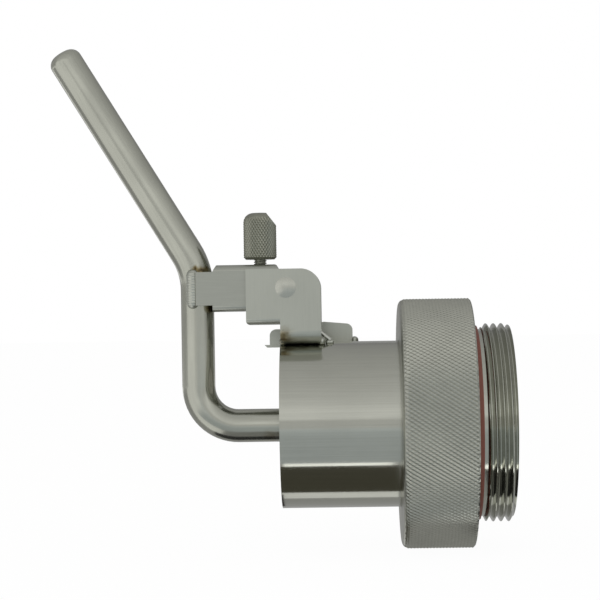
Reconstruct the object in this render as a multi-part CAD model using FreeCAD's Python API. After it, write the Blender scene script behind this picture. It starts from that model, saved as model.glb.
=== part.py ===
# Pail tap: a self-closing outlet valve for a pail or tank, in stainless steel.
# Millimetres. The origin lies on the tube's axis, in the plane where the coupling's
# thread starts. +X points into the pail, +Z points up, and Y runs across the tap.

import FreeCAD, Part
import math
import os

V = FreeCAD.Vector
X_AXIS = V(1, 0, 0)
Y_AXIS = V(0, 1, 0)
Z_AXIS = V(0, 0, 1)

# Spout tube
tube_od = 50.0
tube_wall = 2.0
outlet_reach = 60.0          # from the thread's start back to the open end of the spout

# Coupling: knurled grip ring and male thread, turned from one blank
thread_d = 59.6              # 2 inch parallel pipe thread, over its crests
thread_len = 8.7
thread_lead_in = 0.7         # chamfer at the thread's end
groove_d = 56.2              # undercut between the ring's face and the thread
groove_w = 2.9
seal_t = 1.8                 # the seal lies in the undercut, against the ring's face
seal_od = 58.4
grip_step = 7.7              # how far the grip ring stands out past the thread's crests
ring_w = 21.6
ring_round = 2.2             # rounded edge on the outlet side
ring_chamfer = 0.5           # broken edge on the pail side
swivel_clear = 0.10          # radial running clearance of the ring on the tube
seal_clear = 0.05

# Flange that keeps the coupling on the tube
flange_od = 53.6
flange_t = 3.0
flange_recess = 0.5          # how far the flange lies inside the thread's end
flange_side_clear = 0.2
flange_gasket_t = 1.5
face_gap = 0.05              # gap left between flat faces that move on each other

# Seat in the outlet
seat_id = 34.0
seat_t = 3.5
seat_depth = 2.0             # from the spout's open end to the seat ring
seat_edge = 0.8              # bevel on the seat's lip

# Handle bar
bar_d = 10.0
bar_reach = 25.0             # from the spout's open end out to the bar's upright
low_bend_r = 12.0
corner_z = 47.4              # where the centre lines of upright and grip would cross
high_bend_r = 22.0
grip_lean = 31.4             # degrees from the upright, away from the pail
grip_len = 77.2
grip_round = 3.0
stud_d = 6.0                 # turned end that holds the plug
stud_past_nut = 1.2

# Plug on the bar's inner end
front_washer_od = 22.0
front_washer_t = 1.5
plug_od = 38.0
plug_seal_t = 4.0
plug_disc_od = 37.0
plug_disc_t = 4.0
plug_edge = 1.0
spring_washer_od = 12.0
spring_washer_t = 1.4
plug_nut_af = 10.0
plug_nut_t = 5.0

# Pivot
pivot_x = -58.0
pivot_z = 41.5
rivet_d = 5.0
rivet_head_d = 6.2
rivet_head_h = 0.6
pivot_clear = 0.05
washer_od = 9.5
washer_t = 0.95
open_angle = 11.0            # degrees that the lever travels, down to the clevis floor
stop_gap = 0.1               # left open at the end of that travel

# Lever arm, a piece of square tube
arm_size = 14.0
arm_wall = 2.0
arm_corner = 1.8
arm_top_end = 1.9            # the top wall stops this far short of the pivot
arm_floor_end = 5.0          # the bottom wall stops this far short of the pivot
saw_lean = 1.2               # how far the saw leaned over each end of the top wall
arm_bead_r = 1.9
arm_bead_out = 1.0           # how far the bead lies outside the bar's centre line

# Clevis, folded from sheet and welded on the spout
sheet = 1.5
clevis_top = 47.1
clevis_front_x = -69.9
clevis_foot_x = -59.8
clevis_back_x = -47.6
floor_bend_r = 2.0
foot_bend_r = 4.0
foot_sink = 0.4              # depth of the saddle that the foot takes from the tube
ear_round = 6.0
floor_round = 1.2            # rounded lower edge at the front of the floor
foot_bead_r = 1.1

# Plate on the far shoulder of the spout
plate_t = 1.5
plate_left_x = -63.7
plate_tip_x = -65.3
plate_base_z = 23.2
plate_tip_h = 0.8
plate_tab_z = 28.8
plate_top_z = 30.9
plate_top_x = -47.0
plate_top_end_z = 30.1
plate_right_x = -38.2
plate_corner_r = 2.0
plate_bead_r = 1.0
plate_end_bead_r = 1.2       # thicker bead up the plate's right edge
plate_end_bead_z = 26.3      # its top

# Return spring round the rivet
wire_d = 1.2
wire_sides = 12              # the wire's section is a polygon, to keep the coil light
coil_r = 4.3                 # mean radius
coil_pitch = 1.25
coil_turns = 5
lever_leg_at = 205.0         # where the leg to the arm leaves the coil, in degrees
tube_leg_slope = 38.5        # how steeply the leg to the tube runs down, in degrees
tack_r = 1.0

# Thumb screw
screw_x = -65.8
screw_d = 4.0
screw_hole_clear = 0.25
thread_clear = 0.05
screw_point_d = 1.0
screw_point_h = 1.5
knob_d = 10.0
knob_h = 14.1
knob_gap = 1.6               # lets the screw come down onto the clevis floor
knob_round = 3.0
knob_chamfer = 0.7
knob_facet_w = 3.0
knob_facet_h = 3.9
knob_hole_depth = 8.0
weld_nut_af = 7.0
weld_nut_t = 2.6

# Working values
past = 1.0                   # how far a cutting block runs past the piece
touch = 1e-4                 # places closer than this are one place

# Places that follow from the sizes above
tube_r = tube_od / 2
bore_r = tube_r - tube_wall
outlet_x = -outlet_reach
thread_r = thread_d / 2
grip_r = thread_r + grip_step
ring_face_x = -groove_w
ring_back_x = ring_face_x - ring_w
flange_face_x = thread_len - flange_recess
flange_back_x = flange_face_x - flange_t
shoulder_x = flange_back_x - face_gap - flange_gasket_t
seat_x = outlet_x + seat_depth
seat_face_x = seat_x + seat_t
plug_x = seat_face_x + face_gap
disc_x = plug_x + plug_seal_t
spring_washer_x = disc_x + plug_disc_t
nut_x = spring_washer_x + spring_washer_t
bar_end_x = plug_x - front_washer_t
bar_r = bar_d / 2
bar_x = outlet_x - bar_reach
arm_half = arm_size / 2
arm_inner = arm_half - arm_wall
arm_top_z = pivot_z + arm_half
arm_floor_z = pivot_z - arm_half
clevis_inner = arm_half + face_gap + washer_t
clevis_half = clevis_inner + sheet
opened = math.radians(open_angle)
floor_drop = ((arm_half + stop_gap + (pivot_x - clevis_front_x) * math.sin(opened))
              / math.cos(opened))
clevis_floor_z = pivot_z - floor_drop
tip_edge = pivot_x - screw_x + screw_point_d / 2
tip_drop = (floor_drop - stop_gap - tip_edge * math.sin(opened)) / math.cos(opened)
screw_tip_z = pivot_z - tip_drop
knob_z = arm_top_z + knob_gap


def box(x0, x1, y0, y1, z0, z1):
    """A block between two corners."""
    return Part.makeBox(x1 - x0, y1 - y0, z1 - z0, V(x0, y0, z0))


def prism(points, y0, y1):
    """A block with an outline of (x, z) points, from one y to another."""
    corners = [V(x, y0, z) for x, z in points]
    outline = Part.makePolygon(corners + corners[:1])
    return Part.Face(outline).extrude(Y_AXIS * (y1 - y0))


def rod(r, start, end):
    """A round rod from one point to another."""
    along = end.sub(start)
    return Part.makeCylinder(r, along.Length, start, along)


def turned(points):
    """A solid turned about the tube's axis from a closed outline of (x, r) points."""
    corners = [V(x, 0, r) for x, r in points]
    outline = Part.makePolygon(corners + corners[:1])
    return Part.Face(outline).revolve(V(0, 0, 0), X_AXIS, 360)


def ring(x0, x1, r_in, r_out):
    """A plain ring round the tube's axis."""
    return turned([(x0, r_in), (x1, r_in), (x1, r_out), (x0, r_out)])


def hexagon(af, start, height, axis):
    """A six-sided block, af across its flats, raised from its start along an axis."""
    across = Z_AXIS if axis == X_AXIS else X_AXIS
    corners = []
    for k in range(6):
        spin = FreeCAD.Rotation(axis, 30 + 60 * k)
        corners.append(start.add(spin.multVec(across) * (af / 2 / math.cos(math.radians(30)))))
    outline = Part.makePolygon(corners + corners[:1])
    return Part.Face(outline).extrude(axis * height)


def edges_at(shape, test):
    """The edges whose every vertex passes a test."""
    return [e for e in shape.Edges if all(test(v.Point) for v in e.Vertexes)]


def near(a, b):
    return abs(a - b) < touch


def make_spout_tube():
    return ring(outlet_x, flange_face_x, bore_r, tube_r)


def make_tube_flange():
    return ring(flange_back_x, flange_face_x, tube_r, flange_od / 2)


def make_seat_ring():
    lip = seat_id / 2
    return turned([(seat_x, lip + seat_edge), (seat_x + seat_edge, lip), (seat_face_x, lip),
                   (seat_face_x, bore_r), (seat_x, bore_r)])


def make_coupling_ring():
    """Grip ring, undercut and thread blank in one piece, bored to turn on the tube."""
    bore = tube_r + swivel_clear
    counterbore = flange_od / 2 + flange_side_clear
    groove = groove_d / 2
    body = turned([
        (ring_back_x, bore), (shoulder_x, bore), (shoulder_x, counterbore),
        (thread_len, counterbore), (thread_len, thread_r - thread_lead_in),
        (thread_len - thread_lead_in, thread_r), (0, thread_r), (0, groove),
        (ring_face_x, groove), (ring_face_x, grip_r - ring_chamfer),
        (ring_face_x - ring_chamfer, grip_r), (ring_back_x, grip_r)])
    rim = [e for e in body.Edges
           if e.Curve.TypeId == "Part::GeomCircle" and near(e.Curve.Radius, grip_r)
           and near(e.Curve.Center.x, ring_back_x)]
    return body.makeFillet(ring_round, rim)


def make_thread_seal():
    return ring(ring_face_x, ring_face_x + seal_t, groove_d / 2 + seal_clear, seal_od / 2)


def make_flange_gasket():
    return ring(shoulder_x, shoulder_x + flange_gasket_t, tube_r + swivel_clear, flange_od / 2)


def bar_path():
    """Centre line of the handle bar: out of the spout, up, and back along the grip."""
    lean = math.radians(grip_lean)
    corner = V(bar_x, 0, corner_z)
    grip_dir = V(-math.sin(lean), 0, math.cos(lean))
    reach = high_bend_r * math.tan(lean / 2)
    high_centre = V(bar_x - high_bend_r, 0, corner_z - reach)
    high_mid = high_centre.add(V(math.cos(lean / 2), 0, math.sin(lean / 2)) * high_bend_r)
    low_centre = V(bar_x + low_bend_r, 0, low_bend_r)
    low_mid = low_centre.add(V(-1, 0, -1).normalize() * low_bend_r)
    inner_end = V(bar_end_x, 0, 0)
    low_in = V(bar_x + low_bend_r, 0, 0)
    low_out = V(bar_x, 0, low_bend_r)
    high_in = corner.sub(Z_AXIS * reach)
    high_out = corner.add(grip_dir * reach)
    tip = corner.add(grip_dir * grip_len)
    return Part.Wire([
        Part.makeLine(inner_end, low_in),
        Part.Arc(low_in, low_mid, low_out).toShape(),
        Part.makeLine(low_out, high_in),
        Part.Arc(high_in, high_mid, high_out).toShape(),
        Part.makeLine(high_out, tip)]), tip


def make_handle_bar():
    path, tip = bar_path()
    section = Part.Face(Part.Wire(Part.makeCircle(bar_r, V(bar_end_x, 0, 0), X_AXIS)))
    bar = path.makePipe(section)
    end = [e for e in bar.Edges
           if e.Curve.TypeId == "Part::GeomCircle" and near(e.Curve.Center.distanceToPoint(tip), 0)]
    bar = bar.makeFillet(grip_round, end)
    stud_end = nut_x + plug_nut_t + stud_past_nut
    stud = rod(stud_d / 2, V(bar_end_x, 0, 0), V(stud_end, 0, 0))
    return bar.fuse(stud).removeSplitter()


def make_front_washer():
    return ring(bar_end_x, plug_x, stud_d / 2, front_washer_od / 2)


def plug_layer(x0, thickness, r_out):
    """A round layer of the plug with both rims broken."""
    bevel = plug_edge / 2
    return turned([(x0, stud_d / 2), (x0 + thickness, stud_d / 2), (x0 + thickness, r_out - bevel),
                   (x0 + thickness - bevel, r_out), (x0 + bevel, r_out), (x0, r_out - bevel)])


def make_spring_washer():
    return ring(spring_washer_x, nut_x, stud_d / 2, spring_washer_od / 2)


def make_plug_nut():
    block = hexagon(plug_nut_af, V(nut_x, 0, 0), plug_nut_t, X_AXIS)
    return block.cut(rod(stud_d / 2, V(nut_x - past, 0, 0), V(nut_x + plug_nut_t + past, 0, 0)))


def across_pivot(r, y0, y1):
    """A round bar along the pivot's axis."""
    return rod(r, V(pivot_x, y0, pivot_z), V(pivot_x, y1, pivot_z))


def make_lever_arm():
    """Square tube that straddles the bar and turns on the rivet."""
    web_start = bar_x + bar_r
    nose = pivot_x + arm_half
    tube = box(bar_x, nose, -arm_half, arm_half, arm_floor_z, arm_top_z)
    long_edges = edges_at(tube, lambda p: True)
    long_edges = [e for e in long_edges if near(abs(e.tangentAt(e.FirstParameter).x), 1)]
    tube = tube.makeFillet(arm_corner, long_edges)
    # The ends of the side walls are rounded about the pivot
    rounded = across_pivot(arm_half, -arm_half, arm_half)
    keep = box(bar_x, pivot_x, -arm_half, arm_half, arm_floor_z, arm_top_z).fuse(rounded)
    tube = tube.common(keep)
    beyond = nose + past
    above = arm_top_z + past
    below = arm_floor_z - past
    floor_in = arm_floor_z + arm_wall
    ceiling = arm_top_z - arm_wall
    left = bar_x - past
    inside = box(left, beyond, -arm_inner, arm_inner, floor_in, ceiling)
    # The top wall is sawn off at both ends, round corners and all, with cuts that lean
    lean = saw_lean * (above - ceiling) / arm_wall
    top_end = pivot_x - arm_top_end
    sawn_top = prism([(left, ceiling), (web_start, ceiling), (web_start + lean, above),
                      (left, above)], -arm_half, arm_half)
    open_top = prism([(beyond, ceiling), (top_end, ceiling), (top_end - lean, above),
                      (beyond, above)], -arm_half, arm_half)
    sawn_floor = box(left, web_start, -arm_half, arm_half, below, floor_in)
    open_floor = box(pivot_x - arm_floor_end, beyond, -arm_inner, arm_inner, below, floor_in + past)
    hole = across_pivot(rivet_d / 2 + pivot_clear, -clevis_inner, clevis_inner)
    screw_hole = rod(screw_d / 2 + screw_hole_clear, V(screw_x, 0, below), V(screw_x, 0, above))
    return tube.cut([inside, sawn_top, sawn_floor, open_top, open_floor, hole, screw_hole])


def capsule(r, start, end):
    """A rod with round ends."""
    return rod(r, start, end).fuse([Part.makeSphere(r, start), Part.makeSphere(r, end)])


def bead(r, start, end, neighbours):
    """A weld bead, fitted against the pieces that it joins."""
    fitted = capsule(r, start, end).removeSplitter().cut(neighbours)
    return max(fitted.Solids, key=lambda s: s.Volume)


def make_arm_welds(bar, arm):
    low = arm_floor_z + arm_wall + arm_bead_r / 2
    high = arm_top_z - arm_wall - arm_bead_r / 2
    x = bar_x - arm_bead_out
    across = arm_half - arm_bead_r
    # No weld metal reaches the narrow space between the bar and the walls' inner faces
    narrow = box(bar_x, bar_x + bar_r, -arm_inner, arm_inner, arm_floor_z, arm_top_z)
    beads = []
    for side in (-1, 1):
        start = V(x, side * across, low)
        end = V(x, side * across, high)
        beads.append(bead(arm_bead_r, start, end, [bar, arm, narrow]))
    return Part.makeCompound(beads)


def folded(shape, low, r):
    """A block with its two long lower edges rounded, as a fold leaves them."""
    folds = edges_at(shape, lambda p: near(p.z, low))
    folds = [e for e in folds if near(abs(e.tangentAt(e.FirstParameter).x), 1)]
    return shape.makeFillet(r, folds)


def channel(x0, x1, floor_under, bend_r):
    """The outside and the inside of a length of U channel, open at the top."""
    floor_in = floor_under + sheet
    above = clevis_top + past
    outer = box(x0, x1, -clevis_half, clevis_half, floor_under, clevis_top)
    inner = box(x0 - past, x1 + past, -clevis_inner, clevis_inner, floor_in, above)
    return folded(outer, floor_under, bend_r), folded(inner, floor_in, bend_r - sheet)


def make_clevis():
    """Folded ears with a floor under the lever and a foot on the spout."""
    front, front_space = channel(clevis_front_x, clevis_foot_x, clevis_floor_z - sheet, floor_bend_r)
    foot, foot_space = channel(clevis_foot_x, clevis_back_x, tube_r - foot_sink, foot_bend_r)
    clevis = front.fuse(foot).removeSplitter()
    corner = edges_at(clevis, lambda p: near(p.x, clevis_back_x) and near(p.z, clevis_top))
    clevis = clevis.makeFillet(ear_round, corner)
    # The front's space stops at the foot, so that the foot keeps its own deeper one
    behind = box(clevis_foot_x, clevis_back_x + past, -clevis_half, clevis_half,
                 0, clevis_top + past)
    low = clevis_floor_z - sheet
    centre_x = clevis_front_x + floor_round
    centre_z = low + floor_round
    block = box(clevis_front_x - past, centre_x, -clevis_half, clevis_half, low - past, centre_z)
    front_corner = block.cut(rod(floor_round, V(centre_x, -clevis_half, centre_z),
                                 V(centre_x, clevis_half, centre_z)))
    tube = rod(tube_r, V(outlet_x, 0, 0), V(0, 0, 0))
    hole = across_pivot(rivet_d / 2, -tube_r, tube_r)
    return clevis.cut([front_space, foot_space.common(behind), front_corner, tube, hole])


def make_clevis_welds(clevis):
    """Beads across the foot's two ends."""
    tube = rod(tube_r, V(outlet_x, 0, 0), V(0, 0, 0))
    half = clevis_inner - foot_bend_r / 2
    beads = []
    for x in (clevis_foot_x + foot_bead_r / 2, clevis_back_x):
        z = tube_r + foot_bead_r / 4
        beads.append(bead(foot_bead_r, V(x, -half, z), V(x, half, z), [tube, clevis]))
    return Part.makeCompound(beads)


def make_pivot_rivet():
    """Pin through both ears, with a low domed head at each end."""
    pin = across_pivot(rivet_d / 2, -clevis_half, clevis_half)
    head_r = rivet_head_d / 2
    dome_r = (head_r ** 2 + rivet_head_h ** 2) / (2 * rivet_head_h)
    heads = []
    for side in (-1, 1):
        face_y = side * clevis_half
        centre = V(pivot_x, face_y + side * (rivet_head_h - dome_r), pivot_z)
        outside = across_pivot(head_r + past, face_y, face_y + side * (rivet_head_h + past))
        heads.append(Part.makeSphere(dome_r, centre).common(outside))
    return pin.fuse(heads).removeSplitter()


def make_pivot_washers():
    """A washer on each side of the arm."""
    washers = []
    for side in (-1, 1):
        y0 = side * (arm_half + face_gap)
        y1 = side * clevis_inner
        disc = across_pivot(washer_od / 2, y0, y1)
        washers.append(disc.cut(across_pivot(rivet_d / 2, y0 - side, y1 + side)))
    return Part.makeCompound(washers)


def make_shoulder_plate():
    """Sheet plate that stands on the spout's far shoulder, behind the clevis."""
    tip_top = plate_base_z + plate_tip_h
    plate = prism([(plate_tip_x, tip_top), (plate_left_x, tip_top), (plate_left_x, plate_tab_z),
                   (clevis_foot_x, plate_tab_z), (plate_top_x, plate_top_z),
                   (plate_right_x, plate_top_end_z), (plate_right_x, 0), (outlet_x, 0),
                   (outlet_x, plate_base_z), (plate_tip_x + plate_tip_h, plate_base_z)],
                  clevis_half, clevis_half + plate_t)
    tab = edges_at(plate, lambda p: near(p.x, plate_left_x) and near(p.z, plate_tab_z))
    end = edges_at(plate, lambda p: near(p.x, plate_right_x) and near(p.z, plate_top_end_z))
    plate = plate.makeFillet(plate_corner_r, tab + end)
    return plate.cut(rod(tube_r, V(outlet_x, 0, 0), V(0, 0, 0)))


def make_plate_weld(plate):
    """Bead along the plate's outer foot, and on up its right edge."""
    y = clevis_half + plate_t
    z = math.sqrt(tube_r ** 2 - y ** 2)
    tube = rod(tube_r, V(outlet_x, 0, 0), V(0, 0, 0))
    right = plate_right_x + plate_end_bead_r / 2
    along = capsule(plate_bead_r, V(outlet_x + 2 * plate_bead_r, y, z), V(right, y, z))
    middle = clevis_half + plate_t / 2
    up = capsule(plate_end_bead_r, V(right, middle, z),
                 V(right, middle, plate_end_bead_z - plate_end_bead_r))
    return along.fuse(up).removeSplitter().cut([tube, plate])


def on_coil(angle, y):
    """The point of the coil's centre line at an angle, and the way the wire runs there."""
    a = math.radians(angle)
    point = V(pivot_x + coil_r * math.cos(a), y, pivot_z + coil_r * math.sin(a))
    step = coil_pitch / (2 * math.pi)
    run = V(-coil_r * math.sin(a), -step, coil_r * math.cos(a)).normalize()
    return point, run


def spring_path():
    """Centre line of the spring: leg to the arm, coil, leg to the tube."""
    last = 270 - tube_leg_slope + 360 * coil_turns
    turns = (last - lever_leg_at) / 360
    height = coil_pitch * turns
    helix = Part.makeHelix(coil_pitch, height, coil_r)
    helix.rotate(V(0, 0, 0), Z_AXIS, lever_leg_at)
    helix.rotate(V(0, 0, 0), X_AXIS, 90)
    helix.translate(V(pivot_x, height / 2, pivot_z))
    start, run_in = on_coil(lever_leg_at, height / 2)
    end, run_out = on_coil(last, -height / 2)
    under_arm = arm_top_z - arm_wall - wire_d / 2 - face_gap
    lever_leg = (under_arm - start.z) / -run_in.z
    on_tube = tube_r + wire_d / 2
    tube_leg = (on_tube - end.z) / run_out.z
    arm_end = start.sub(run_in * lever_leg)
    tube_end = end.add(run_out * tube_leg)
    edges = [Part.makeLine(arm_end, start)] + helix.Edges + [Part.makeLine(end, tube_end)]
    return Part.Wire(Part.__sortEdges__(edges)), arm_end, run_in, tube_end


def make_return_spring():
    path, arm_end, run_in, tube_end = spring_path()
    rim = Part.makeCircle(wire_d / 2, arm_end, run_in)
    corners = rim.discretize(wire_sides + 1)
    section = Part.makePolygon(corners[:-1] + corners[:1])
    spring = path.makePipeShell([section], True, False)
    tube = rod(tube_r, V(outlet_x, 0, 0), V(0, 0, 0))
    return spring.cut(tube)


def make_spring_tack(spring, clevis, clevis_beads):
    """Spot of weld that holds the spring's foot on the tube."""
    tube_end = spring_path()[3]
    tube = rod(tube_r, V(outlet_x, 0, 0), V(0, 0, 0))
    start = V(tube_end.x - tack_r, tube_end.y, tube_r)
    end = V(tube_end.x + tack_r / 2, tube_end.y, tube_r)
    return bead(tack_r, start, end, [tube, spring, clevis] + clevis_beads.Solids)


def make_screw_stem():
    """Screw with a small flat point; its upper end is held in the knob."""
    top = knob_z + knob_hole_depth - face_gap
    r = screw_d / 2
    shank = rod(r, V(screw_x, 0, screw_tip_z + screw_point_h), V(screw_x, 0, top))
    point = Part.makeCone(screw_point_d / 2, r, screw_point_h, V(screw_x, 0, screw_tip_z), Z_AXIS)
    return shank.fuse(point).removeSplitter()


def make_thumb_knob():
    """Round knob with a domed edge and one ground facet."""
    r = knob_d / 2
    top = knob_z + knob_h
    knob = rod(r, V(screw_x, 0, knob_z), V(screw_x, 0, top))
    knob = knob.makeChamfer(knob_chamfer, edges_at(knob, lambda p: near(p.z, knob_z)))
    knob = knob.makeFillet(knob_round, edges_at(knob, lambda p: near(p.z, top)))
    inner = screw_x + r - knob_facet_w
    high = top + knob_facet_h
    low = top - 2 * knob_facet_h
    waste = prism([(inner - knob_facet_w, high), (inner + 2 * knob_facet_w, low),
                   (screw_x + knob_d, low), (screw_x + knob_d, high)], -knob_d, knob_d)
    hole = rod(screw_d / 2 + thread_clear, V(screw_x, 0, knob_z - past),
               V(screw_x, 0, knob_z + knob_hole_depth))
    return knob.cut([waste, hole])


def make_weld_nut():
    floor_in = arm_floor_z + arm_wall
    block = hexagon(weld_nut_af, V(screw_x, 0, floor_in), weld_nut_t, Z_AXIS)
    hole = rod(screw_d / 2 + thread_clear, V(screw_x, 0, floor_in - past),
               V(screw_x, 0, floor_in + weld_nut_t + past))
    return block.cut(hole)


def make_parts():
    """Every piece of the tap by its node's name."""
    bar = make_handle_bar()
    arm = make_lever_arm()
    clevis = make_clevis()
    clevis_beads = make_clevis_welds(clevis)
    plate = make_shoulder_plate()
    spring = make_return_spring()
    return {
        "spout_tube": make_spout_tube(),
        "tube_flange": make_tube_flange(),
        "seat_ring": make_seat_ring(),
        "coupling_ring": make_coupling_ring(),
        "thread_seal": make_thread_seal(),
        "flange_gasket": make_flange_gasket(),
        "handle_bar": bar,
        "lever_arm": arm,
        "arm_welds": make_arm_welds(bar, arm),
        "plug_front_washer": make_front_washer(),
        "plug_seal": plug_layer(plug_x, plug_seal_t, plug_od / 2),
        "plug_disc": plug_layer(disc_x, plug_disc_t, plug_disc_od / 2),
        "plug_spring_washer": make_spring_washer(),
        "plug_nut": make_plug_nut(),
        "clevis_bracket": clevis,
        "clevis_welds": clevis_beads,
        "pivot_rivet": make_pivot_rivet(),
        "pivot_washers": make_pivot_washers(),
        "shoulder_plate": plate,
        "plate_weld": make_plate_weld(plate),
        "return_spring": spring,
        "spring_tack_weld": make_spring_tack(spring, clevis, clevis_beads),
        "screw_stem": make_screw_stem(),
        "thumb_knob": make_thumb_knob(),
        "weld_nut": make_weld_nut(),
    }


os.makedirs("parts", exist_ok=True)
for name, shape in make_parts().items():
    print(name, len(shape.Solids), "solid(s)", round(shape.Volume / 1000, 3), "cm3",
          "valid" if shape.isValid() else "NOT VALID")
    shape.exportStep("parts/" + name + ".step")
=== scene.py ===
# %% [markdown]
# # A stainless pail tap, dressed for the camera
# The tap screws into the outlet socket of a pail or a small tank. A lever pulls a plug
# off its seat inside the spout, and a spring and the liquid's own weight close it again.
# The solids come from the CAD frame, at their real size and in their real places. This
# lesson gives them their looks: knurling, cut threads, a wire spring, weld beads, and
# the grey-green sheen of brushed stainless steel under soft light.

# %% Load the frame
import math
import random

import bmesh
import bpy
from mathutils import Matrix, Vector


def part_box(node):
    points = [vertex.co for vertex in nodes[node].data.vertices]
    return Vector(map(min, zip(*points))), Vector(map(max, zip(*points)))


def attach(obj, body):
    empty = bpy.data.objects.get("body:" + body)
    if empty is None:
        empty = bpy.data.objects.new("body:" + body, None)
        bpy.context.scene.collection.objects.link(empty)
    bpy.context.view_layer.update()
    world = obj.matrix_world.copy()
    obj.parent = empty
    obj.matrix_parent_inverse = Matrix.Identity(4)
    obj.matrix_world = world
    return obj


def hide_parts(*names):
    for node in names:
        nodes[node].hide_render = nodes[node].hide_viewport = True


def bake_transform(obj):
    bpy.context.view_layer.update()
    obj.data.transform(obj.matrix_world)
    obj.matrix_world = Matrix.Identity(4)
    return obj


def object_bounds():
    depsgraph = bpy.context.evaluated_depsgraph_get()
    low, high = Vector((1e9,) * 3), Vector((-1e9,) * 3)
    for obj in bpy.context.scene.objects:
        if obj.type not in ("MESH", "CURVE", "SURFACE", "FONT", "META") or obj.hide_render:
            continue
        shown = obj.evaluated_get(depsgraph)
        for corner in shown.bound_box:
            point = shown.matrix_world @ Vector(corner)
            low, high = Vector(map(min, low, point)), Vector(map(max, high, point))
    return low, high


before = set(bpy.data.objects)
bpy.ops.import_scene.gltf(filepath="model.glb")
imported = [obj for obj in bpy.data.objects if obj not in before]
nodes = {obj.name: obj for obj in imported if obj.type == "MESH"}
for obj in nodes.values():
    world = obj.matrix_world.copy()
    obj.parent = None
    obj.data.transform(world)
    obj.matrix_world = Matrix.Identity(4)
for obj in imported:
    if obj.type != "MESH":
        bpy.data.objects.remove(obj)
cad_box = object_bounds()
scene = bpy.context.scene

# %% [markdown]
# ## Millimetres, colours and one way to add a node
# A designer thinks of this tap in millimetres and Blender works in metres, so every size
# below is written in mm and multiplied by one factor. Colours are written as the hex
# values that a paint program shows, and one function turns them into the linear values
# that a shader needs. One more function adds a shader node together with its links, so
# a material reads from top to bottom like a recipe.

# %% Small helpers
MM = 0.001


def linear(hex_colour):
    """A linear colour with alpha from an sRGB hex value."""
    made = []
    for k in (1, 3, 5):
        c = int(hex_colour[k:k + 2], 16) / 255
        made.append(c / 12.92 if c <= 0.04045 else ((c + 0.055) / 1.055) ** 2.4)
    return (*made, 1.0)


def add_node(tree, kind, inputs=None, **settings):
    """Add a shader node. Each input is a plain value or the socket that feeds it."""
    made = tree.nodes.new("ShaderNode" + kind)
    for name, value in settings.items():
        setattr(made, name, value)
    for name, value in (inputs or {}).items():
        if isinstance(value, bpy.types.NodeSocket):
            tree.links.new(value, made.inputs[name])
        else:
            made.inputs[name].default_value = value
    return made


print("helpers ready, 1 mm is", MM, "m")

# %% [markdown]
# ## The camera
# The photograph was taken square to the tap's side, from about half a metre. The far rim
# of the grip ring and the inside of the thread's chamfer give that distance away. A
# long lens with a tiny turn to the left and a tiny roll puts every edge where the
# picture has it. There is no shift and no depth of field, so the other views stay true.

# %% Camera
CAMERA_PLACE = Vector((-41.5, -550.0, 37.7)) * MM
CAMERA_TURN = math.radians(-1.30)
CAMERA_ROLL = math.radians(-0.92)
CAMERA_LENS = 109.2

forward = Vector((math.sin(CAMERA_TURN), math.cos(CAMERA_TURN), 0))
level = Vector((math.cos(CAMERA_TURN), -math.sin(CAMERA_TURN), 0))
upward = Vector((0, 0, 1))
camera_x = level * math.cos(CAMERA_ROLL) + upward * math.sin(CAMERA_ROLL)
camera_y = upward * math.cos(CAMERA_ROLL) - level * math.sin(CAMERA_ROLL)
camera = bpy.data.objects.new("camera", bpy.data.cameras.new("camera"))
scene.collection.objects.link(camera)
camera.matrix_world = Matrix.Translation(CAMERA_PLACE) @ Matrix(
    (camera_x, camera_y, -forward)).transposed().to_4x4()
camera.data.sensor_width = 36
camera.data.lens = CAMERA_LENS
camera.data.clip_start = 0.01
scene.camera = camera
print("camera", round(CAMERA_PLACE.length * 1000), "mm from the origin")

# %% [markdown]
# ## A white sweep
# The product stands on a pale floor against white, as paper that sweeps up behind it
# gives. A brighter lamp would burn out the steel, so the white isn't made with light: the
# floor and the world look at the kind of ray that meets them, and show plain white to
# the camera and to mirror-like surfaces. The floor keeps a little of its soft shadow.

# %% Floor and world
FLOOR_Z = cad_box[0].z
SHOWN_SHARE = 0.97     # how much of the floor's look is plain white; the rest is its shadow


def seen_directly(tree):
    """1 for rays from the camera, from gloss and from glass, and 0 for the light itself."""
    path = add_node(tree, "LightPath")
    pair = add_node(tree, "Math", {0: path.outputs["Is Camera Ray"],
                                   1: path.outputs["Is Glossy Ray"]}, operation="MAXIMUM")
    return add_node(tree, "Math", {0: pair.outputs[0],
                                   1: path.outputs["Is Transmission Ray"]}, operation="MAXIMUM")


def sheet_object(name, corners, material):
    """A flat sheet from its four corners, in millimetres."""
    mesh = bpy.data.meshes.new(name)
    mesh.from_pydata([Vector(c) * MM for c in corners], [], [(0, 1, 2, 3)])
    made = bpy.data.objects.new(name, mesh)
    scene.collection.objects.link(made)
    mesh.materials.append(material)
    return made


def level_sheet(x, y, z):
    """The corners of a sheet that lies level."""
    return [(x[0], y[0], z), (x[1], y[0], z), (x[1], y[1], z), (x[0], y[1], z)]


world = bpy.data.worlds.new("white studio")
world.use_nodes = True
scene.world = world
tree = world.node_tree
tree.nodes.clear()
strength = add_node(tree, "MapRange", {"Value": seen_directly(tree).outputs[0],
                                       "To Min": 0.75, "To Max": 1.0})
light = add_node(tree, "Background", {"Color": (1, 1, 1, 1), "Strength": strength.outputs[0]})
add_node(tree, "OutputWorld", {"Surface": light.outputs[0]})

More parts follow.
